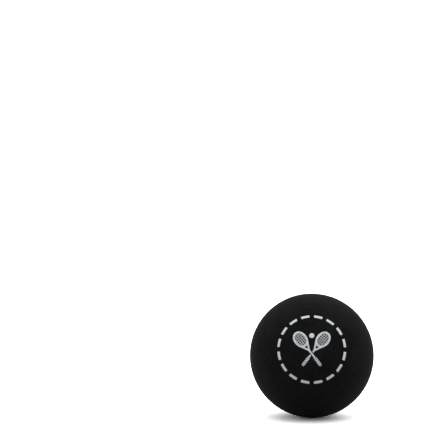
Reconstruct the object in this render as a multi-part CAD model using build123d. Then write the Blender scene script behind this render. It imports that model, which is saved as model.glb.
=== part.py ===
from build123d import *

import math
import os

# A squash ball: two moulded rubber half shells, cemented rim to rim, with ink marks printed on the skin.
# Millimetres and degrees. The origin is the centre of the ball, with +Z up.

# Half shells. The rules of the game fix the diameter.
BALL_DIAMETER = 40.0
WALL = 5.0

# Joint between the rims: the cement, and the fine groove that is left around it
BOND_THICKNESS = 0.2
SEAM_BEVEL = 0.08
SEAM_DEPTH = 0.1

# Ink, and the dot that tells the speed of the ball
INK_THICKNESS = 0.05
DOT_DIAMETER = 5.0

# Printed ring of dashes
RING_RADIUS = 10.4
RING_STROKE = 0.8
RING_DASHES = 16
DASH_GAP = 1.4

# Printed emblem inside the ring: a crossed pair of rackets, with a point between the heads
RACKET_LEAN = 38.0
RACKET_STROKE = 0.55
HEAD_LENGTH = 5.6
HEAD_WIDTH = 4.2
THROAT_LENGTH = 1.6
THROAT_ANGLE = 40.0
SHAFT_LENGTH = 2.6
GRIP_LENGTH = 3.4
GRIP_WIDTH = 0.95
CROSSING_GAP = 0.25
POINT_DIAMETER = 1.6
POINT_RISE = 1.2

# How the ball lies: the middle of the print looks along -Y and this far up
PRINT_TILT = 13.0

OUTER_RADIUS = BALL_DIAMETER / 2
INNER_RADIUS = OUTER_RADIUS - WALL
GROOVE_RADIUS = OUTER_RADIUS - SEAM_DEPTH
RIM_Z = BOND_THICKNESS / 2
HEAD_Y = SHAFT_LENGTH / 2 + THROAT_LENGTH + HEAD_LENGTH / 2


def on_circle(radius, height):
    """Point at a height on a circle about the origin, in the plane of a profile."""
    return Vector(math.sqrt(radius**2 - height**2), height)


def arc_about_origin(radius, start, end):
    """Arc about the origin from one point of a profile to another."""
    middle = (start + end).normalized() * radius
    return ThreePointArc(start, middle, end)


def turned(outline):
    """Solid of revolution about Z from the closed outline of half its section."""
    return revolve(Plane.XZ * make_face(Curve() + outline), Axis.Z)


def half_shell():
    """Moulded half on the +Z side: a thick dome with a buffed flat rim and a bevelled outer edge."""
    rim_inside = on_circle(INNER_RADIUS, RIM_Z)
    rim_outside = Vector(GROOVE_RADIUS, RIM_Z)
    skin_edge = on_circle(OUTER_RADIUS, RIM_Z + SEAM_BEVEL)
    outer_pole = Vector(0, OUTER_RADIUS)
    inner_pole = Vector(0, INNER_RADIUS)
    return turned(
        [
            Line(rim_inside, rim_outside),
            Line(rim_outside, skin_edge),
            arc_about_origin(OUTER_RADIUS, skin_edge, outer_pole),
            Line(outer_pole, inner_pole),
            arc_about_origin(INNER_RADIUS, inner_pole, rim_inside),
        ]
    )


def seam_bond():
    """Layer of cured cement that fills the width of both rims, from the groove to the hollow inside."""
    upper_inside = on_circle(INNER_RADIUS, RIM_Z)
    lower_inside = on_circle(INNER_RADIUS, -RIM_Z)
    upper_outside = Vector(GROOVE_RADIUS, RIM_Z)
    lower_outside = Vector(GROOVE_RADIUS, -RIM_Z)
    return turned(
        [
            Line(lower_outside, upper_outside),
            Line(upper_outside, upper_inside),
            arc_about_origin(INNER_RADIUS, upper_inside, lower_inside),
            Line(lower_inside, lower_outside),
        ]
    )


def ink_film(mark):
    """Thin layer of ink on the +Z side of the skin, in the shape of a flat mark."""
    layer = Sphere(OUTER_RADIUS + INK_THICKNESS) - Sphere(OUTER_RADIUS)
    poles_aside = Rot(0, 90, 0) * layer
    return extrude(mark, OUTER_RADIUS + INK_THICKNESS) & poles_aside


def ring_mark():
    """Dashes with square ends on a circle."""
    band = Circle(RING_RADIUS + RING_STROKE / 2) - Circle(RING_RADIUS - RING_STROKE / 2)
    gap = Pos(0, RING_RADIUS) * Rectangle(DASH_GAP, 2 * RING_STROKE)
    return band - [Rot(0, 0, 360 * dash / RING_DASHES) * gap for dash in range(RING_DASHES)]


def racket_mark():
    """One racket, upright, with the middle of its shaft at the origin."""
    shaft_top = Vector(0, SHAFT_LENGTH / 2)
    frame = Ellipse(HEAD_WIDTH / 2, HEAD_LENGTH / 2)
    frame -= Ellipse(HEAD_WIDTH / 2 - RACKET_STROKE, HEAD_LENGTH / 2 - RACKET_STROKE)
    mark = Pos(0, HEAD_Y) * frame
    mark += Rectangle(RACKET_STROKE, SHAFT_LENGTH + RACKET_STROKE)
    mark += Pos(0, -(SHAFT_LENGTH + GRIP_LENGTH) / 2) * SlotOverall(GRIP_LENGTH, GRIP_WIDTH, 90)
    for side in (-1, 1):
        flank_x = side * (HEAD_WIDTH - RACKET_STROKE) / 2 * math.cos(math.radians(THROAT_ANGLE))
        flank_y = HEAD_Y - (HEAD_LENGTH - RACKET_STROKE) / 2 * math.sin(math.radians(THROAT_ANGLE))
        mark += trace(Line(shaft_top, Vector(flank_x, flank_y)), RACKET_STROKE)
    return mark


def emblem_mark():
    """Two rackets whose shafts cross, one under the other, centred on the pole with the point between them."""
    over = Rot(0, 0, RACKET_LEAN) * racket_mark()
    under = Rot(0, 0, -RACKET_LEAN) * racket_mark()
    under -= Rot(0, 0, RACKET_LEAN) * Rectangle(RACKET_STROKE + 2 * CROSSING_GAP, SHAFT_LENGTH)
    point_y = HEAD_Y * math.cos(math.radians(RACKET_LEAN)) + POINT_RISE
    mark = over + under + Pos(0, point_y) * Circle(POINT_DIAMETER / 2)
    return Pos(0, -mark.bounding_box().center().Y) * mark


def laid(shape):
    """Turns a shape from the axis of the print, +Z, to the way the ball lies."""
    return Rot(90 - PRINT_TILT, 0, 0) * shape


def opposite(shape):
    """Turns a shape from the printed side to the other side of the ball."""
    return Rot(180, 0, 0) * shape


pieces = {
    "front_half_shell": half_shell(),
    "back_half_shell": opposite(half_shell()),
    "seam_bond": seam_bond(),
    "ring_print": ink_film(ring_mark()),
    "racket_print": ink_film(emblem_mark()),
    "speed_dot": opposite(ink_film(Circle(DOT_DIAMETER / 2))),
}

os.makedirs("parts", exist_ok=True)
for name, shape in pieces.items():
    export_step(laid(shape), f"parts/{name}.step")
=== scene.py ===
"""Looks of a squash ball: black rubber halves, a cement seam, a pale print and a coloured speed dot."""

import logging
import math
from abc import ABC, abstractmethod
from dataclasses import dataclass
from enum import Enum
from typing import Any, Mapping, Optional, Sequence, Union

import bmesh
import bpy
import numpy as np
from mathutils import Matrix, Vector, noise


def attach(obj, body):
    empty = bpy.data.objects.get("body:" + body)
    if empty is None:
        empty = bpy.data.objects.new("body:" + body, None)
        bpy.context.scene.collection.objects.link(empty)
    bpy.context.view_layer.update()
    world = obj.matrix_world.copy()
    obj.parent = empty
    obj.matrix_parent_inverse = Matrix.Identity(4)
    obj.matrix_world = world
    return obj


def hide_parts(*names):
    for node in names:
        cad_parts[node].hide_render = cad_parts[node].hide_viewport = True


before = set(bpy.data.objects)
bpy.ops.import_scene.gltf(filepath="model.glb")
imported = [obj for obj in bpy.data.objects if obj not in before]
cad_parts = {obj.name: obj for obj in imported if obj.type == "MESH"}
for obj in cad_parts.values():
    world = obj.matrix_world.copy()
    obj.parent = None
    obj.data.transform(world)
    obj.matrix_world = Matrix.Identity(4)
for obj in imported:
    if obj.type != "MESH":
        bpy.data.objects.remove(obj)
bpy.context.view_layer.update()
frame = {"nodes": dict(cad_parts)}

LOG = logging.getLogger("squash_ball")
MM = 0.001
TINY = 1e-9
BODY = "root"

Colour = tuple[float, float, float]
Point = tuple[float, float, float]
Spot = tuple[float, float]
Span = tuple[float, float]
Face = tuple[int, ...]
GridPoint = tuple[int, int]
GridSide = tuple[GridPoint, GridPoint]


class Side(Enum):
    """The half of the ball that a piece belongs to."""

    FRONT = "printed half"
    BACK = "dotted half"


class Output(Enum):
    """The node that a sheet ends in."""

    MATERIAL = "ShaderNodeOutputMaterial"
    WORLD = "ShaderNodeOutputWorld"


class Ray(Enum):
    """Rays of light that a surface can tell apart."""

    CAMERA = "Is Camera Ray"
    GLOSSY = "Is Glossy Ray"
    CLEAR = "Is Transmission Ray"


class Maths(Enum):
    """Math node operations that shader expressions use."""

    ADD = "ADD"
    SUBTRACT = "SUBTRACT"
    MULTIPLY = "MULTIPLY"
    MAXIMUM = "MAXIMUM"
    ABSOLUTE = "ABSOLUTE"


class Signal:
    """A shader socket that Python arithmetic works on, by adding Math nodes to its sheet."""

    def __init__(self, sheet: "NodeSheet", socket: bpy.types.NodeSocket) -> None:
        """Wraps one output socket of a node on a sheet."""
        self.sheet = sheet
        self.socket = socket

    def __add__(self, other: "Value") -> "Signal":
        """Sum with a value or another signal."""
        return self.sheet.math(Maths.ADD, self, other)

    __radd__ = __add__

    def __sub__(self, other: "Value") -> "Signal":
        """Difference from a value or another signal."""
        return self.sheet.math(Maths.SUBTRACT, self, other)

    def __rsub__(self, other: "Value") -> "Signal":
        """What is left of a value once this signal is taken from it."""
        return self.sheet.math(Maths.SUBTRACT, other, self)

    def __mul__(self, other: "Value") -> "Signal":
        """Product with a value or another signal."""
        return self.sheet.math(Maths.MULTIPLY, self, other)

    __rmul__ = __mul__

    def at_least(self, other: "Value") -> "Signal":
        """The larger of this signal and a value."""
        return self.sheet.math(Maths.MAXIMUM, self, other)

    def size(self) -> "Signal":
        """This signal without its sign."""
        return self.sheet.math(Maths.ABSOLUTE, self)


Value = Union[float, Signal]
SocketValue = Union[float, Sequence[float], Signal]
Settings = Optional[Mapping[str, Any]]
Sockets = Optional[Mapping[str, SocketValue]]


class NodeSheet:
    """The node tree of a material or a world, emptied and ready to be filled."""

    def __init__(self, tree: bpy.types.NodeTree, output: Output) -> None:
        """Takes over a node tree and removes what is in it.

        Args:
            tree: the node tree of a material or a world.
            output: the node that the tree is to end in.
        """
        self.tree = tree
        self.output = output
        tree.nodes.clear()

    def node(self, kind: str, settings: Settings = None, sockets: Sockets = None) -> bpy.types.Node:
        """Adds a node of any type.

        Args:
            kind: Blender's type name for the node.
            settings: the node's own properties, set before its sockets.
            sockets: values or links, by socket identifier or name.

        Returns:
            The new node.
        """
        node = self.tree.nodes.new(kind)
        for name, value in (settings or {}).items():
            setattr(node, name, value)
        for name, value in (sockets or {}).items():
            self._feed(self._find(node.inputs, name), value)
        return node

    def add(
        self,
        kind: str,
        settings: Settings = None,
        sockets: Sockets = None,
        output: str = "",
    ) -> Signal:
        """Adds a node of any type and takes the output with this identifier or name, or else its first."""
        outputs = self.node(kind, settings, sockets).outputs
        return Signal(self, self._find(outputs, output) if output else outputs[0])

    def finish(self, shader: Signal) -> None:
        """Gives the finished shader to the output."""
        self.node(self.output.value, sockets={"Surface": shader})

    def math(self, operation: Maths, first: Value, second: Value = 0.0) -> Signal:
        """Adds one Math node on one value or two."""
        sockets = {"Value": first, "Value_001": second}
        return self.add("ShaderNodeMath", {"operation": operation.value}, sockets)

    def blend(self, factor: Value, first: SocketValue, second: SocketValue) -> Signal:
        """Colour that goes from the first to the second as the factor goes from 0 to 1."""
        sockets = {"Factor_Float": factor, "A_Color": first, "B_Color": second}
        return self.add("ShaderNodeMix", {"data_type": "RGBA"}, sockets, "Result_Color")

    def choose(self, factor: Value, first: Signal, second: Signal) -> Signal:
        """Shader that goes from the first to the second as the factor goes from 0 to 1."""
        sockets = {"Fac": factor, "Shader": first, "Shader_001": second}
        return self.add("ShaderNodeMixShader", sockets=sockets)

    def ray(self, kind: Ray) -> Signal:
        """1 for rays of a kind, and 0 for others."""
        return self.add("ShaderNodeLightPath", output=kind.value)

    def rise(self, signal: Signal, low: float, high: float) -> Signal:
        """Signal that goes smoothly from 0 at low to 1 at high."""
        sockets = {"Value": signal, "From Min": low, "From Max": high}
        return self.add("ShaderNodeMapRange", {"interpolation_type": "SMOOTHSTEP"}, sockets, "Result")

    def millimetres(self) -> Signal:
        """Position on the object, counted in millimetres."""
        sockets = {"Vector": self.add("ShaderNodeTexCoord", output="Object"), "Vector_001": (1 / MM,) * 3}
        return self.add("ShaderNodeVectorMath", {"operation": "MULTIPLY"}, sockets)

    def along(self, place: Signal, axis: Sequence[float]) -> Signal:
        """How far a position lies along an axis."""
        sockets = {"Vector": place, "Vector_001": axis}
        return self.add("ShaderNodeVectorMath", {"operation": "DOT_PRODUCT"}, sockets, "Value")

    def pits(self, place: Signal, spacing_mm: float) -> Signal:
        """Distance from the nearest of scattered points, in spacings."""
        sockets = {"Vector": place, "Scale": 1 / spacing_mm}
        return self.add("ShaderNodeTexVoronoi", {"feature": "F1"}, sockets, "Distance")

    def bump(self, height: Signal, depth_mm: float) -> Signal:
        """Surface normal tipped by a height signal, whose range from 0 to 1 has the given depth."""
        sockets = {"Strength": 1.0, "Distance": depth_mm * MM, "Height": height}
        return self.add("ShaderNodeBump", sockets=sockets, output="Normal")

    def surface(self, colour: Signal, roughness: Signal, specular: float, normal: Signal) -> Signal:
        """Adds the shader of an opaque surface that isn't metal.

        Args:
            colour: base colour.
            roughness: roughness, from 0 for a mirror to 1.
            specular: how strongly it reflects, the same all over.
            normal: surface normal.

        Returns:
            The shader.
        """
        sockets = {
            "Base Color": colour,
            "Roughness": roughness,
            "Specular IOR Level": specular,
            "Normal": normal,
        }
        return self.add("ShaderNodeBsdfPrincipled", sockets=sockets)

    def _feed(self, socket: bpy.types.NodeSocket, value: SocketValue) -> None:
        """Links a signal to a socket, or sets the socket's own value.

        Args:
            socket: an input socket of a node on this sheet.
            value: a signal, a number, or the parts of a vector or an opaque colour.
        """
        if isinstance(value, Signal):
            self.tree.links.new(value.socket, socket)
        elif isinstance(value, (int, float)):
            socket.default_value = value
        else:
            size = len(socket.default_value)
            socket.default_value = (*value, 1.0)[:size]

    @staticmethod
    def _find(sockets: bpy.types.bpy_prop_collection, name: str) -> bpy.types.NodeSocket:
        """Finds a socket among the inputs or outputs of a node.

        Args:
            sockets: the node's inputs or outputs.
            name: the socket's identifier or, failing that, its name.

        Returns:
            The socket.
        """
        for socket in sockets:
            if socket.identifier == name:
                return socket
        return sockets[name]


@dataclass(frozen=True)
class Grain:
    """Lumps on a surface: their size, and the part of their noise that is stretched out."""

    size_mm: float
    detail: float = 4.0
    rough: float = 0.5
    low: float = 0.3
    high: float = 0.7

    def over(self, sheet: NodeSheet, place: Signal) -> Signal:
        """Height of lumps at a place in millimetres, from 0 in the hollows to 1 on the tops."""
        return self._height(sheet, "3D", {"Vector": place})

    def along(self, sheet: NodeSheet, distance: Signal) -> Signal:
        """Height of ridges at a distance in millimetres, from 0 in the furrows to 1 on the tops."""
        return self._height(sheet, "1D", {"W": distance})

    def _height(self, sheet: NodeSheet, dimensions: str, where: Mapping[str, Signal]) -> Signal:
        """Adds the noise and stretches it.

        Args:
            sheet: the sheet that the nodes go on.
            dimensions: how many dimensions the noise has, as its node names them.
            where: the signal that the noise follows, by its socket.

        Returns:
            Height from 0 to 1.
        """
        sockets = {**where, "Scale": 1 / self.size_mm, "Detail": self.detail, "Roughness": self.rough}
        lumps = sheet.add("ShaderNodeTexNoise", {"noise_dimensions": dimensions}, sockets, "Fac")
        return sheet.rise(lumps, self.low, self.high)


SKIN_GRAIN = Grain(size_mm=0.45, rough=0.7, low=0.38, high=0.62)


class Finish(ABC):
    """A finish that a material shows."""

    name: str

    def material(self) -> bpy.types.Material:
        """The finish as a material, made the first time that it is asked for.

        Returns:
            The material, whose nodes hold the finish.
        """
        found = bpy.data.materials.get(self.name)
        if found is None:
            found = bpy.data.materials.new(self.name)
            found.use_nodes = True
            sheet = NodeSheet(found.node_tree, Output.MATERIAL)
            sheet.finish(self.shader(sheet))
        return found

    @abstractmethod
    def shader(self, sheet: NodeSheet) -> Signal:
        """Builds the finish.

        Args:
            sheet: the sheet that its nodes go on.

        Returns:
            The finished shader.
        """


class PieceFinish(Finish):
    """A finish of the ball, which belongs to one of the record's material slots."""

    slot: str


@dataclass(frozen=True)
class BuffedRubber(PieceFinish):
    """Black moulded rubber, buffed matt: fine grain, open pores, a faint bloom, and ground at the seam."""

    axis: Point
    name: str = "buffed_black_rubber"
    slot: str = "black_rubber"
    deep: Colour = (0.0010, 0.0010, 0.0011)
    bloomed: Colour = (0.0087, 0.0087, 0.0089)
    roughness: float = 0.70
    roughness_spread: float = 0.12
    specular: float = 0.04
    grain: Grain = SKIN_GRAIN
    bloom: Grain = Grain(size_mm=6.0)
    bloom_share: float = 0.35
    pore_spacing_mm: float = 1.3
    pore_edge: Span = (0.06, 0.13)
    pore_share: float = 0.3
    band_fade_mm: Span = (0.54, 1.17)
    band_wander: Grain = Grain(size_mm=1.8, detail=2.0, low=0.0, high=1.0)
    band_wander_mm: float = 0.9
    ground: Grain = Grain(size_mm=0.09, detail=2.0)
    ground_level: float = 0.5
    ground_ridge: float = 0.25
    ground_shine: float = 0.08
    depth_mm: float = 0.07

    def shader(self, sheet: NodeSheet) -> Signal:
        """Builds the rubber, whose colour, roughness and relief all follow the same buffing.

        Args:
            sheet: the sheet that its nodes go on.

        Returns:
            The finished shader.
        """
        place = sheet.millimetres()
        height = sheet.along(place, self.axis)
        band = self._band(sheet, place, height)
        grain = self.grain.over(sheet, place)
        ground = self.ground_level + self.ground_ridge * self.ground.along(sheet, height)
        relief = grain + band * (ground - grain)
        off_pores = sheet.rise(sheet.pits(place, self.pore_spacing_mm), *self.pore_edge)
        bloom = self.bloom.over(sheet, place)
        wear = off_pores * (self.bloom_share * bloom + (1 - self.bloom_share) * relief)
        texture = (1 - self.pore_share) * relief + self.pore_share * off_pores
        return sheet.surface(
            colour=sheet.blend(wear, self.deep, self.bloomed),
            roughness=self.roughness + self.roughness_spread * wear - self.ground_shine * band,
            specular=self.specular,
            normal=sheet.bump(texture, self.depth_mm),
        )

    def _band(self, sheet: NodeSheet, place: Signal, height: Signal) -> Signal:
        """1 in the band that was ground flush on each side of the seam, fading unevenly to 0 outside it."""
        wander = self.band_wander_mm * (self.band_wander.over(sheet, place) - 0.5)
        return 1 - sheet.rise(height.size() + wander, *self.band_fade_mm)


@dataclass(frozen=True)
class CuredCement(PieceFinish):
    """Cured rubber cement: black like the rubber beside it, with a smoother skin and small lumps."""

    name: str = "cured_rubber_cement"
    slot: str = "rubber_cement"
    dark: Colour = (0.0012, 0.0012, 0.0012)
    pale: Colour = (0.0076, 0.0074, 0.0071)
    roughness: float = 0.5
    roughness_spread: float = 0.15
    specular: float = 0.08
    lumps: Grain = Grain(size_mm=0.8, rough=0.6, low=0.38, high=0.62)
    depth_mm: float = 0.03

    def shader(self, sheet: NodeSheet) -> Signal:
        """Builds the cement, whose tone is as uneven as its surface.

        Args:
            sheet: the sheet that its nodes go on.

        Returns:
            The finished shader.
        """
        lumps = self.lumps.over(sheet, sheet.millimetres())
        return sheet.surface(
            colour=sheet.blend(lumps, self.dark, self.pale),
            roughness=self.roughness + self.roughness_spread * lumps,
            specular=self.specular,
            normal=sheet.bump(lumps, self.depth_mm),
        )


@dataclass(frozen=True)
class PrintedInk(PieceFinish):
    """Thin matt ink on rubber: the skin's grain shows through it, with mottling and a few pinholes."""

    name: str
    slot: str
    full: Colour
    thin: Colour
    under: Colour = (0.012, 0.012, 0.0125)
    roughness: float = 0.55
    roughness_spread: float = 0.15
    specular: float = 0.3
    grain: Grain = SKIN_GRAIN
    grain_height: float = 0.8
    mottle: Grain = Grain(size_mm=1.4, rough=0.6)
    mottle_share: float = 0.55
    pinholes: Grain = Grain(size_mm=0.34, detail=1.0, low=0.70, high=0.78)
    pinhole_share: float = 0.75
    pinhole_height: float = 0.4
    depth_mm: float = 0.03

    def shader(self, sheet: NodeSheet) -> Signal:
        """Builds the ink, which is thinner over the tops of the grain and open at its pinholes.

        Args:
            sheet: the sheet that its nodes go on.

        Returns:
            The finished shader.
        """
        place = sheet.millimetres()
        grain = self.grain.over(sheet, place)
        mottle = self.mottle.over(sheet, place)
        pinholes = self.pinholes.over(sheet, place)
        cover = self.mottle_share * mottle + (1 - self.mottle_share) * (1 - grain)
        ink = sheet.blend(cover, self.thin, self.full)
        texture = self.grain_height * grain - self.pinhole_height * pinholes
        return sheet.surface(
            colour=sheet.blend(self.pinhole_share * pinholes, ink, self.under),
            roughness=self.roughness + self.roughness_spread * cover,
            specular=self.specular,
            normal=sheet.bump(texture, self.depth_mm),
        )


@dataclass(frozen=True)
class PaleFloor(Finish):
    """White floor, exposed so that only the heart of a shadow shows, which throws little light back up."""

    name: str = "pale_floor"
    exposed: Colour = (1.6, 1.6, 1.6)
    mirrored: Colour = (0.85, 0.85, 0.85)
    lit: Colour = (0.3, 0.3, 0.3)

    def shader(self, sheet: NodeSheet) -> Signal:
        """Builds the floor, which is white to the eye and in reflections, and grey to scattered light.

        Args:
            sheet: the sheet that its nodes go on.

        Returns:
            The finished shader.
        """
        lit, mirrored, exposed = (
            sheet.add("ShaderNodeBsdfDiffuse", sockets={"Color": tone})
            for tone in (self.lit, self.mirrored, self.exposed)
        )
        reflected = sheet.ray(Ray.GLOSSY).at_least(sheet.ray(Ray.CLEAR))
        return sheet.choose(sheet.ray(Ray.CAMERA), sheet.choose(reflected, lit, mirrored), exposed)


CEMENT = CuredCement()
WHITE_INK = PrintedInk(
    name="pale_printing_ink",
    slot="white_ink",
    full=(0.585, 0.62, 0.648),
    thin=(0.485, 0.515, 0.54),
)
YELLOW_INK = PrintedInk(
    name="yellow_printing_ink",
    slot="yellow_ink",
    full=(0.80, 0.57, 0.03),
    thin=(0.66, 0.45, 0.02),
)


@dataclass(frozen=True)
class BallFrame:
    """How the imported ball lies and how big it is, measured on its nodes, in metres."""

    outer: float
    inner: float
    bond: float
    groove: float
    ink: float
    ring: Span
    dot: float
    turn: Matrix

    @classmethod
    def measured(cls, nodes: Mapping[str, bpy.types.Object]) -> "BallFrame":
        """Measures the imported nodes.

        Args:
            nodes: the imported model's objects, by node name.

        Returns:
            The ball's radii, its seam and print, and the turn from the print's axis to the way it lies.
        """
        points = {name: np.array([v.co[:] for v in o.data.vertices]) for name, o in nodes.items()}
        bond = points["seam_bond"]
        # The cement is a flat ring about the ball's axis, so it is thinnest along that axis.
        thin_way = np.linalg.svd(bond - bond.mean(0), full_matrices=False)[2][2]
        axis = Vector(thin_way * np.sign(thin_way @ points["ring_print"].mean(0)))
        right = Vector((1.0, 0.0, 0.0))
        turn = Matrix((right, axis.cross(right), axis)).transposed()
        local = {name: where @ np.array(turn) for name, where in points.items()}
        from_middle = {name: np.linalg.norm(where, axis=1) for name, where in local.items()}
        from_axis = {name: np.hypot(where[:, 0], where[:, 1]) for name, where in local.items()}
        shell = from_middle["front_half_shell"]
        ring = from_axis["ring_print"]
        return cls(
            outer=float(shell.max()),
            inner=float(shell.min()),
            bond=float(np.ptp(local["seam_bond"][:, 2])),
            groove=float(from_axis["seam_bond"].max()),
            ink=float(from_middle["ring_print"].max() - shell.max()),
            ring=(float(ring.min()), float(ring.max())),
            dot=float(from_axis["speed_dot"].max()),
            turn=turn,
        )

    def placing(self, side: Side) -> Matrix:
        """Turn from a half's own axes, with its pole along +Z, to the way the ball lies.

        Args:
            side: the half.

        Returns:
            The turn, as a matrix of three rows.
        """
        if side is Side.FRONT:
            return self.turn
        return self.turn @ Matrix.Rotation(math.pi, 3, "X")


@dataclass(frozen=True)
class BuffedSkin:
    """Relief that moulding and buffing leave on the ball: broad soft hollows and smaller ripples."""

    hollow: float = 0.02 * MM
    hollow_pitch: float = 9.0 * MM
    ripple: float = 0.006 * MM
    ripple_pitch: float = 2.6 * MM

    def height(self, place: Vector) -> float:
        """Height of the skin over a true sphere.

        Args:
            place: a place on the sphere, as the ball lies.

        Returns:
            The height, in metres, below zero in a hollow.
        """
        broad = noise.noise(place / self.hollow_pitch)
        fine = noise.noise(place / self.ripple_pitch)
        return self.hollow * broad + self.ripple * fine


class Piece(ABC):
    """One visible piece of the ball."""

    name: str
    replaced: str
    finish: PieceFinish

    @abstractmethod
    def mesh(self) -> bpy.types.Mesh:
        """Builds the piece's mesh.

        Returns:
            The mesh, in metres, as the ball lies.
        """

    def build(self) -> bpy.types.Object:
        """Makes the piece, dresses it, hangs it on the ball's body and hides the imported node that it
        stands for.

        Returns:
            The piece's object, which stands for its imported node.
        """
        piece = bpy.data.objects.new(self.name, self.mesh())
        bpy.context.scene.collection.objects.link(piece)
        self.dress(piece)
        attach(piece, BODY)
        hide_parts(self.replaced)
        return piece

    def dress(self, piece: bpy.types.Object) -> None:
        """Gives the piece the material of its finish."""
        piece.data.materials.append(self.finish.material())

    def closed(self, points: Sequence[Sequence[float]], faces: Sequence[Face]) -> bpy.types.Mesh:
        """Makes a smooth mesh whose faces all look outwards.

        Args:
            points: corners, as the ball lies.
            faces: corners of each face, by index.

        Returns:
            The new mesh.
        """
        mesh = bpy.data.meshes.new(self.name)
        mesh.from_pydata(points, [], faces)
        work = bmesh.new()
        work.from_mesh(mesh)
        bmesh.ops.recalc_face_normals(work, faces=work.faces)
        work.to_mesh(mesh)
        work.free()
        mesh.shade_smooth()
        return mesh


@dataclass
class RubberHalf(Piece):
    """One moulded half: a dome of square cells, a rolled edge at the seam, a flat rim and the hollow."""

    name: str
    replaced: str
    side: Side
    ball: BallFrame
    skin: BuffedSkin
    finish: PieceFinish
    cells: int = 80
    roll_width: float = 0.32 * MM
    roll_steps: int = 6
    rim_steps: int = 4

    def mesh(self) -> bpy.types.Mesh:
        """Builds the half from its outer dome, over the rim, to its inner dome.

        Returns:
            The half as one closed mesh.
        """
        rim_z = self.ball.bond / 2
        turn = self.ball.placing(self.side)
        loops = [self._loop(radius, height) for radius, height in self._edge_profile()]
        outer = [turn @ Vector(place) for place in self._dome(self.ball.outer, rim_z + self.roll_width)]
        edge = [turn @ Vector(place) for loop in loops for place in loop]
        inner = [turn @ Vector(place) for place in self._dome(self.ball.inner, rim_z)]
        points = [self._buffed(place) for place in outer] + edge + inner
        return self.closed(points, self._faces(len(loops)))

    def _dome(self, radius: float, edge_height: float) -> np.ndarray:
        """Lays a square grid over a dome, so that its cells stay nearly square up to the edge.

        Args:
            radius: radius of the sphere.
            edge_height: height of the dome's edge over the seam.

        Returns:
            Grid points, row by row, in the half's own axes.
        """
        line = np.linspace(-1.0, 1.0, self.cells + 1)
        across, along = np.meshgrid(line, line)
        # Each square ring about the middle of the grid becomes a level ring of the dome.
        wide = np.abs(across) >= np.abs(along)
        reach = np.where(wide, across, along)
        other = np.where(wide, along, across)
        share = np.divide(other, reach, out=np.zeros_like(reach), where=reach != 0)
        angle = np.where(wide, math.pi / 4 * share, math.pi / 2 - math.pi / 4 * share)
        polar = reach * math.acos(edge_height / radius)
        dome = np.stack([np.sin(polar) * np.cos(angle), np.sin(polar) * np.sin(angle), np.cos(polar)], -1)
        return radius * dome.reshape(-1, 3)

    def _border(self) -> list[int]:
        """Follows the dome's edge, from the first point of its grid.

        Returns:
            Indices of the edge's points, in order around it.
        """
        last = self.cells
        row = self.cells + 1
        bottom = list(range(last))
        right = [line * row + last for line in range(last)]
        top = [last * row + column for column in range(last, 0, -1)]
        left = [line * row for line in range(last, 0, -1)]
        return bottom + right + top + left

    def _edge_profile(self) -> list[Spot]:
        """Follows the half's section from the skin's edge, over the rolled edge, and across the rim.

        Returns:
            Radius and height of each loop of points.
        """
        rim_z = self.ball.bond / 2
        drop = self.ball.outer - self.ball.groove
        profile = []
        for step in range(1, self.roll_steps + 1):
            share = step / self.roll_steps
            height = rim_z + self.roll_width * (1 - share)
            skin = math.sqrt(self.ball.outer**2 - height**2)
            profile.append((skin - drop * share**2, height))
        rim_outside = profile[-1][0]
        rim_inside = math.sqrt(self.ball.inner**2 - rim_z**2)
        for step in range(1, self.rim_steps):
            profile.append((rim_outside + (rim_inside - rim_outside) * step / self.rim_steps, rim_z))
        return profile

    def _loop(self, radius: float, height: float) -> list[Point]:
        """Makes a level loop of points that lines up with the dome's edge.

        Args:
            radius: radius of the loop.
            height: its height over the seam.

        Returns:
            The loop's points, in the half's own axes.
        """
        count = 4 * self.cells
        first_corner = -3 * math.pi / 4
        angles = [first_corner + 2 * math.pi * step / count for step in range(count)]
        return [(radius * math.cos(angle), radius * math.sin(angle), height) for angle in angles]

    def _buffed(self, place: Vector) -> Vector:
        """A point of the skin, raised or sunk by buffing."""
        return place * (1 + self.skin.height(place) / place.length)

    def _faces(self, loop_count: int) -> list[Face]:
        """Joins up the points of both domes and of the loops between them.

        Args:
            loop_count: how many loops lie between the two domes.

        Returns:
            Corners of each face, by index.
        """
        row = self.cells + 1
        dome = row * row
        around = 4 * self.cells
        inner_start = dome + loop_count * around
        quads = []
        for start in (0, inner_start):
            for line in range(self.cells):
                for column in range(self.cells):
                    corner = start + line * row + column
                    quads.append((corner, corner + 1, corner + row + 1, corner + row))
        border = self._border()
        rings = [border]
        rings += [[dome + ring * around + step for step in range(around)] for ring in range(loop_count)]
        rings.append([inner_start + index for index in border])
        for upper, lower in zip(rings, rings[1:]):
            for step in range(around):
                after = (step + 1) % around
                quads.append((upper[step], upper[after], lower[after], lower[step]))
        return quads


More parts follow.
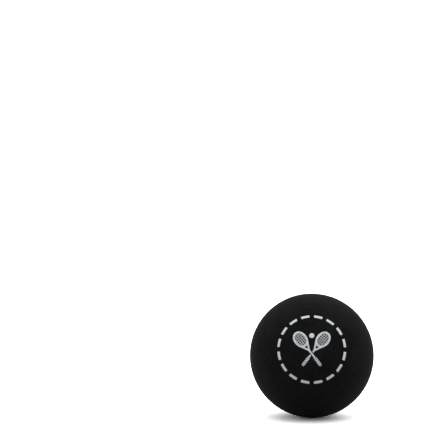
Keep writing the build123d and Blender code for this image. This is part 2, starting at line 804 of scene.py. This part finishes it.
@dataclass
class SeamCement(Piece):
    """Ring of cement between the rims, drawn in along its outer edge where it shrank as it cured."""

    name: str
    replaced: str
    ball: BallFrame
    finish: PieceFinish
    around: int = 480
    edge_steps: int = 6
    draw_in: float = 0.05 * MM
    wander: float = 0.02 * MM
    wander_pitch: float = 1.5 * MM

    def mesh(self) -> bpy.types.Mesh:
        """Builds the ring as a closed band of sections.

        Returns:
            The ring as one closed mesh.
        """
        turn = self.ball.placing(Side.FRONT)
        sections = [self._section(2 * math.pi * step / self.around) for step in range(self.around)]
        size = len(sections[0])
        points = [turn @ place for section in sections for place in section]
        faces = []
        for step in range(self.around):
            here, there = step * size, (step + 1) % self.around * size
            for corner in range(size):
                after = (corner + 1) % size
                faces.append((here + corner, here + after, there + after, there + corner))
        return self.closed(points, faces)

    def _section(self, angle: float) -> list[Vector]:
        """Cuts the ring at an angle about the ball's axis.

        Args:
            angle: the angle, in radians.

        Returns:
            Corners of the cut, in the front half's own axes.
        """
        half = self.ball.bond / 2
        across = Vector((math.cos(angle), math.sin(angle), 0.0))
        shrink = self.wander * noise.noise(across * self.ball.groove / self.wander_pitch)
        section = []
        for step in range(self.edge_steps + 1):
            height = half - self.ball.bond * step / self.edge_steps
            share = 1 - (height / half) ** 2
            radius = self.ball.groove - (self.draw_in + shrink) * share
            section.append(across * radius + Vector((0.0, 0.0, height)))
        inside = math.sqrt(self.ball.inner**2 - half**2)
        section += [across * inside + Vector((0.0, 0.0, height)) for height in (-half, half)]
        return section


def disc(x: np.ndarray, y: np.ndarray, radius: float) -> np.ndarray:
    """Distance from the edge of a disc about the origin, below zero inside."""
    return np.hypot(x, y) - radius


def oval(x: np.ndarray, y: np.ndarray, half_width: float, half_height: float) -> np.ndarray:
    """Measures from the edge of an upright oval about the origin.

    Args:
        x: flat places, across.
        y: the same places, up.
        half_width: half of the oval's width.
        half_height: half of its height.

    Returns:
        Distance from the edge, near enough close to it, below zero inside.
    """
    scaled = np.hypot(x / half_width, y / half_height)
    slope = np.hypot(x / half_width**2, y / half_height**2)
    return scaled * (scaled - 1) / np.maximum(slope, TINY)


def stroke(x: np.ndarray, y: np.ndarray, start: Spot, end: Spot, width: float) -> np.ndarray:
    """Measures from the edge of a round-ended stroke.

    Args:
        x: flat places, across.
        y: the same places, up.
        start: where the stroke's middle line starts.
        end: where it ends.
        width: width of the stroke.

    Returns:
        Distance from the edge, below zero inside.
    """
    run = np.subtract(end, start)
    share = ((x - start[0]) * run[0] + (y - start[1]) * run[1]) / np.dot(run, run)
    share = np.clip(share, 0.0, 1.0)
    return np.hypot(x - start[0] - share * run[0], y - start[1] - share * run[1]) - width / 2


def flowed(first: np.ndarray, second: np.ndarray, run: float) -> np.ndarray:
    """Two marks' distances as one mark's, with the ink run together where they meet."""
    mix = np.clip(0.5 + 0.5 * (second - first) / run, 0.0, 1.0)
    return second + (first - second) * mix - run * mix * (1 - mix)


class Mark(ABC):
    """A flat mark that can be printed."""

    @abstractmethod
    def reach(self) -> float:
        """How far the mark goes from its middle, at most."""

    @abstractmethod
    def field(self, x: np.ndarray, y: np.ndarray) -> np.ndarray:
        """Measures from the mark's edge.

        Args:
            x: flat places, across.
            y: the same places, up.

        Returns:
            Distance from the edge, below zero inside.
        """


@dataclass
class InkFilm(Piece):
    """Film of ink on the skin, in the shape of a flat mark seen along the half's axis."""

    name: str
    replaced: str
    side: Side
    ball: BallFrame
    skin: BuffedSkin
    finish: PieceFinish
    mark: Mark
    cell: float
    spare_cells: int = 2
    side_margin: float = 0.1
    edge: float = 0.14 * MM
    sunk: float = 0.012 * MM
    ragged: float = 0.018 * MM
    ragged_pitch: float = 0.35 * MM

    def mesh(self) -> bpy.types.Mesh:
        """Builds the film from the cells of a flat grid, cut along the mark's edge and laid on the skin.

        Returns:
            The film as a mesh of closed islands.
        """
        half_count = math.ceil(self.mark.reach() / self.cell) + self.spare_cells
        line = np.arange(-half_count, half_count + 1) * self.cell
        x, y = np.meshgrid(line, line)
        field = self.mark.field(x, y) + self._raggedness(x, y)
        corners, border, faces = self._cut_cells(field)
        top = [self._laid(x[at], y[at], self._thickness(field[at])) for at in corners]
        rim = [self._laid(*self._crossing(x, y, field, side), -self.sunk) for side in border]
        base = [self._laid(x[at], y[at], -self.sunk) for at in corners]
        # The lower faces share the rim with the upper ones, which closes the film along its edge.
        shift = len(corners) + len(border)
        under = [tuple(i + shift if i < len(corners) else i for i in face) for face in faces]
        return self.closed(top + rim + base, faces + [face[::-1] for face in under])

    def _raggedness(self, x: np.ndarray, y: np.ndarray) -> np.ndarray:
        """Works out the small wander of the mark's edge.

        Args:
            x: flat places, across.
            y: the same places, up.

        Returns:
            How far the edge is drawn in at each place.
        """
        places = np.stack([x, y, np.full_like(x, self.ragged_pitch)], -1).reshape(-1, 3) / self.ragged_pitch
        wander = np.array([noise.noise(place) for place in places])
        return self.ragged * wander.reshape(x.shape)

    def _thickness(self, distance: float) -> float:
        """Height of the film over the skin at a distance inside its edge."""
        share = min(1.0, -distance / self.edge)
        return self.ball.ink * share * (2 - share)

    def _laid(self, x: float, y: float, height: float) -> Vector:
        """A flat point carried along the axis to the skin and lifted by a height.

        Args:
            x: place across.
            y: place up.
            height: height over the skin.

        Returns:
            The point, as the ball lies.
        """
        flat = Vector((x, y, math.sqrt(self.ball.outer**2 - x * x - y * y)))
        place = self.ball.placing(self.side) @ flat
        return place * (1 + (self.skin.height(place) + height) / place.length)

    def _crossing(self, x: np.ndarray, y: np.ndarray, field: np.ndarray, side: GridSide) -> Spot:
        """Finds where the mark's edge crosses a side of a cell.

        Args:
            x: the grid's places, across.
            y: the same places, up.
            field: distance from the mark's edge at each place.
            side: the end of the side that lies inside the mark, and the one outside.

        Returns:
            The flat point, kept clear of the side's ends.
        """
        inside, outside = side
        share = field[inside] / (field[inside] - field[outside])
        share = min(max(share, self.side_margin), 1 - self.side_margin)
        return (
            float(x[inside] + share * (x[outside] - x[inside])),
            float(y[inside] + share * (y[outside] - y[inside])),
        )

    @staticmethod
    def _cut_cells(field: np.ndarray) -> tuple[list[GridPoint], list[GridSide], list[Face]]:
        """Cuts the cells of a grid along the line where a field is zero.

        Args:
            field: value at each grid point, below zero inside the mark.

        Returns:
            Grid points inside, sides of cells that the line crosses, and the faces, whose corners number
            the grid points first and then the crossed sides.
        """
        inside = field < 0
        corners = [tuple(at) for at in np.argwhere(inside)]
        number = {at: index for index, at in enumerate(corners)}
        border: dict[GridSide, int] = {}
        faces = []
        touched = inside[:-1, :-1] | inside[1:, :-1] | inside[:-1, 1:] | inside[1:, 1:]
        for row, column in np.argwhere(touched):
            ring = [(row, column), (row, column + 1), (row + 1, column + 1), (row + 1, column)]
            face = []
            for here, there in zip(ring, ring[1:] + ring[:1]):
                if inside[here]:
                    face.append(number[here])
                if inside[here] != inside[there]:
                    side = (here, there) if inside[here] else (there, here)
                    face.append(len(corners) + border.setdefault(side, len(border)))
            faces.append(tuple(face))
        return corners, list(border), faces


@dataclass(frozen=True)
class DashedRing(Mark):
    """Ring of dashes with softened corners."""

    inner: float
    outer: float
    dashes: int = 16
    gap: float = 1.4 * MM
    corner: float = 0.12 * MM

    def reach(self) -> float:
        """How far the mark goes from its middle."""
        return self.outer

    def field(self, x: np.ndarray, y: np.ndarray) -> np.ndarray:
        """Measures from the edge of the nearest dash.

        Args:
            x: flat places, across.
            y: the same places, up.

        Returns:
            Distance from the edge, below zero inside.
        """
        pitch = 2 * math.pi / self.dashes
        turned = np.arctan2(x, y)
        off_gap = turned - pitch * np.round(turned / pitch)
        radius = np.hypot(x, y)
        middle, half_width = (self.inner + self.outer) / 2, (self.outer - self.inner) / 2
        across = np.abs(radius - middle) - half_width + self.corner
        along = self.gap / 2 + self.corner - np.abs(radius * np.sin(off_gap))
        outside = np.hypot(np.maximum(across, 0), np.maximum(along, 0))
        return outside + np.minimum(np.maximum(across, along), 0) - self.corner


@dataclass(frozen=True)
class CrossedRackets(Mark):
    """Two strung rackets that cross at their shafts, with a point between their heads."""

    lean: float = math.radians(38.0)
    width: float = 0.55 * MM
    head_length: float = 5.6 * MM
    head_width: float = 4.2 * MM
    throat_length: float = 1.6 * MM
    throat_angle: float = math.radians(40.0)
    shaft_length: float = 2.6 * MM
    grip_length: float = 3.4 * MM
    grip_width: float = 0.95 * MM
    crossing_gap: float = 0.25 * MM
    point_diameter: float = 1.6 * MM
    point_rise: float = 1.2 * MM
    string_pitch: float = 0.68 * MM
    string_width: float = 0.17 * MM
    wrap_pitch: float = 0.66 * MM
    wrap_gap: float = 0.14 * MM
    wrap_slant: float = 0.5
    butt_length: float = 0.55 * MM
    ink_run: float = 0.12 * MM

    def reach(self) -> float:
        """How far the mark goes from its middle, at most."""
        return self.head_middle() + self.head_length / 2

    def head_middle(self) -> float:
        """Distance from the crossing to the middle of a head."""
        return self.shaft_length / 2 + self.throat_length + self.head_length / 2

    def middle_height(self) -> float:
        """Works out where the middle of the whole mark is.

        Returns:
            Its height over the crossing.
        """
        lean_cos, lean_sin = math.cos(self.lean), math.sin(self.lean)
        head = math.hypot(self.head_width / 2 * lean_sin, self.head_length / 2 * lean_cos)
        top = self.head_middle() * lean_cos + head
        grip = self.shaft_length / 2 + self.grip_length - self.grip_width / 2
        foot = grip * lean_cos + self.grip_width / 2
        return (top - foot) / 2

    def field(self, x: np.ndarray, y: np.ndarray) -> np.ndarray:
        """Measures from the edge of the nearest part of the mark.

        Args:
            x: flat places, across.
            y: the same places, up.

        Returns:
            Distance from the edge, below zero inside.
        """
        y = y + self.middle_height()
        over_x, over_y = self._upright(x, y, self.lean)
        over = self._racket(over_x, over_y)
        under = self._racket(*self._upright(x, y, -self.lean))
        under = np.maximum(under, self.crossing_gap - self._shaft(over_x, over_y))
        point_y = self.head_middle() * math.cos(self.lean) + self.point_rise
        point = disc(x, y - point_y, self.point_diameter / 2)
        return np.minimum(np.minimum(over, under), point)

    @staticmethod
    def _upright(x: np.ndarray, y: np.ndarray, lean: float) -> tuple[np.ndarray, np.ndarray]:
        """Flat places seen in the axes of a racket that leans to the left by an angle."""
        return x * math.cos(lean) + y * math.sin(lean), y * math.cos(lean) - x * math.sin(lean)

    def _shaft(self, x: np.ndarray, y: np.ndarray) -> np.ndarray:
        """Distance from the edge of an upright shaft, below zero inside."""
        half = self.shaft_length / 2
        return stroke(x, y, (0.0, -half), (0.0, half), self.width)

    def _racket(self, x: np.ndarray, y: np.ndarray) -> np.ndarray:
        """Measures from the edge of an upright racket, with the middle of its shaft at the origin.

        Args:
            x: flat places, across.
            y: the same places, up.

        Returns:
            Distance from the edge, below zero inside.
        """
        head_y = y - self.head_middle()
        half_width = (self.head_width - self.width) / 2
        half_height = (self.head_length - self.width) / 2
        bed = oval(x, head_y, half_width, half_height)
        mark = np.abs(bed) - self.width / 2
        for side in (-1, 1):
            flank_x = side * half_width * math.cos(self.throat_angle)
            flank_y = self.head_middle() - half_height * math.sin(self.throat_angle)
            arm = stroke(x, y, (0.0, self.shaft_length / 2), (flank_x, flank_y), self.width)
            mark = flowed(mark, arm, self.ink_run)
        mark = flowed(mark, self._shaft(x, y), self.ink_run)
        mark = np.minimum(mark, self._strings(x, head_y, bed))
        return np.minimum(mark, self._grip(x, y))

    def _strings(self, x: np.ndarray, y: np.ndarray, bed: np.ndarray) -> np.ndarray:
        """Measures from the edge of the crossed strings inside a head.

        Args:
            x: places across, from the head's middle.
            y: the same places, up.
            bed: distance from the middle line of the head's frame at those places.

        Returns:
            Distance from the edge, below zero inside.
        """
        cross = [np.abs(along - self.string_pitch * np.round(along / self.string_pitch)) for along in (x, y)]
        lines = np.minimum(*cross) - self.string_width / 2
        return np.maximum(lines, bed)

    def _grip(self, x: np.ndarray, y: np.ndarray) -> np.ndarray:
        """Measures from the edge of a wrapped grip, parted along the edges of its tape over a solid butt.

        Args:
            x: flat places, across.
            y: the same places, up.

        Returns:
            Distance from the edge, below zero inside.
        """
        top = -(self.shaft_length + self.grip_width) / 2
        foot = top - self.grip_length + self.grip_width
        grip = stroke(x, y, (0.0, top), (0.0, foot), self.grip_width)
        butt = foot - self.grip_width / 2 + self.butt_length
        along = y - butt - self.wrap_slant * (x - self.grip_width / 2)
        tape = np.abs(along - self.wrap_pitch * np.maximum(np.round(along / self.wrap_pitch), 0.0))
        return np.maximum(grip, self.wrap_gap / 2 - tape)


@dataclass(frozen=True)
class SpeedDot(Mark):
    """Plain round dot."""

    radius: float

    def reach(self) -> float:
        """How far the mark goes from its middle."""
        return self.radius

    def field(self, x: np.ndarray, y: np.ndarray) -> np.ndarray:
        """Distance from the edge of the dot at flat places, below zero inside."""
        return disc(x, y, self.radius)


@dataclass(frozen=True)
class Studio:
    """Floor, a white surround that lights from all around, and a wide soft lamp overhead."""

    floor_z: float
    floor_half: float = 30.0
    white: Colour = (1.0, 1.0, 1.0)
    surround: float = 1.0
    seen: float = 1.1
    top_strength: float = 0.5
    top_spread: float = math.radians(100.0)
    top_lean: float = math.radians(12.0)
    top_side: float = math.radians(125.0)

    def build(self) -> None:
        """Builds the floor, the surround and the top lamp."""
        self._floor()
        self._surround()
        self._top_lamp()

    def _floor(self) -> None:
        """Lays a level floor under the ball, out to the horizon."""
        reach = self.floor_half
        around = [(-reach, -reach), (reach, -reach), (reach, reach), (-reach, reach)]
        mesh = bpy.data.meshes.new("floor")
        mesh.from_pydata([(x, y, self.floor_z) for x, y in around], [], [(0, 1, 2, 3)])
        mesh.materials.append(PaleFloor().material())
        floor = bpy.data.objects.new("floor", mesh)
        bpy.context.scene.collection.objects.link(floor)

    def _surround(self) -> None:
        """Puts the ball in an even white surround, seen a touch over white so that none of it is grey."""
        world = bpy.data.worlds.new("studio")
        world.use_nodes = True
        bpy.context.scene.world = world
        sheet = NodeSheet(world.node_tree, Output.WORLD)
        surround, seen = (
            sheet.add("ShaderNodeBackground", sockets={"Color": self.white, "Strength": strength})
            for strength in (self.surround, self.seen)
        )
        sheet.finish(sheet.choose(sheet.ray(Ray.CAMERA), surround, seen))

    def _top_lamp(self) -> None:
        """Hangs a wide lamp overhead, a little behind the ball and to its right."""
        lamp = bpy.data.lights.new("top_lamp", "SUN")
        lamp.energy = math.pi * self.top_strength
        lamp.angle = self.top_spread
        holder = bpy.data.objects.new("top_lamp", lamp)
        holder.rotation_euler = (self.top_lean, 0.0, self.top_side)
        bpy.context.scene.collection.objects.link(holder)


@dataclass(frozen=True)
class PhotoView:
    """The photograph's view of the ball. Lengths in the picture are in its pixels."""

    ball_radius: float
    picture: float = 440.0
    ball_x: float = 311.7
    ball_y: float = 355.4
    ball_size: float = 62.1
    focal: float = 1678.0
    elevation: float = math.radians(6.8)
    sensor_mm: float = 36.0
    near: float = 0.01

    def build(self) -> None:
        """Makes the camera and gives it to the scene."""
        data = bpy.data.cameras.new("photo_view")
        data.sensor_width = self.sensor_mm
        data.lens = self.sensor_mm * self.focal / self.picture
        data.clip_start = self.near
        camera = bpy.data.objects.new("photo_view", data)
        camera.location = self._place()
        camera.rotation_euler = self._turn()
        bpy.context.scene.collection.objects.link(camera)
        bpy.context.scene.camera = camera

    def _offset(self) -> Spot:
        """How far right of and above the picture's middle the ball is."""
        return self.ball_x - self.picture / 2, self.picture / 2 - self.ball_y

    def _place(self) -> Vector:
        """Works out where the camera stands, so that the ball has its size in the picture.

        Returns:
            The camera's place.
        """
        # Off the view's axis a ball is drawn larger, on average by the cosine to the power of -1.5.
        off_axis = math.atan(math.hypot(*self._offset()) / self.focal)
        spread = math.atan(self.ball_size * math.cos(off_axis) ** 1.5 / self.focal)
        distance = self.ball_radius / math.sin(spread)
        return distance * Vector((0.0, -math.cos(self.elevation), math.sin(self.elevation)))

    def _turn(self) -> Point:
        """Works out how the camera is turned, held level, so that the ball is at its place in the picture.

        Returns:
            Angles about X, Y and Z.
        """
        # The line of sight to the ball falls by the elevation, which gives the pitch, and it has no part
        # along X, which gives the yaw.
        right, up = self._offset()
        length = math.sqrt(right**2 + up**2 + self.focal**2)
        tip = math.atan2(-up, self.focal)
        pitch = tip - math.asin(length * math.sin(self.elevation) / math.hypot(up, self.focal))
        ahead = self.focal * math.cos(pitch) - up * math.sin(pitch)
        yaw = math.atan2(right, ahead)
        return math.pi / 2 + pitch, 0.0, yaw


def pieces(ball: BallFrame) -> list[Piece]:
    """Plans every visible piece of the ball, from the inside out.

    Args:
        ball: the measured frame that the pieces fit.

    Returns:
        The pieces, not yet built.
    """
    skin = BuffedSkin()
    rubber = BuffedRubber(axis=tuple(ball.turn.col[2]))
    ring, rackets, dot = DashedRing(*ball.ring), CrossedRackets(), SpeedDot(ball.dot)
    return [
        SeamCement("seam_cement", "seam_bond", ball, CEMENT),
        RubberHalf("front_rubber_half", "front_half_shell", Side.FRONT, ball, skin, rubber),
        RubberHalf("back_rubber_half", "back_half_shell", Side.BACK, ball, skin, rubber),
        InkFilm("ring_ink", "ring_print", Side.FRONT, ball, skin, WHITE_INK, ring, cell=0.1 * MM),
        InkFilm("racket_ink", "racket_print", Side.FRONT, ball, skin, WHITE_INK, rackets, cell=0.06 * MM),
        InkFilm("speed_ink", "speed_dot", Side.BACK, ball, skin, YELLOW_INK, dot, cell=0.1 * MM),
    ]


def main() -> None:
    """Builds the ball's pieces, then the studio and the camera."""
    logging.basicConfig(level=logging.INFO, format="%(message)s")
    ball = BallFrame.measured(frame["nodes"])
    for piece in pieces(ball):
        made = piece.build()
        LOG.info("%s stands for %s with %d faces", made.name, piece.replaced, len(made.data.polygons))
    Studio(floor_z=-ball.outer).build()
    PhotoView(ball.outer).build()
    bpy.context.scene.view_settings.view_transform = "Standard"


if __name__ == "__main__":
    main()
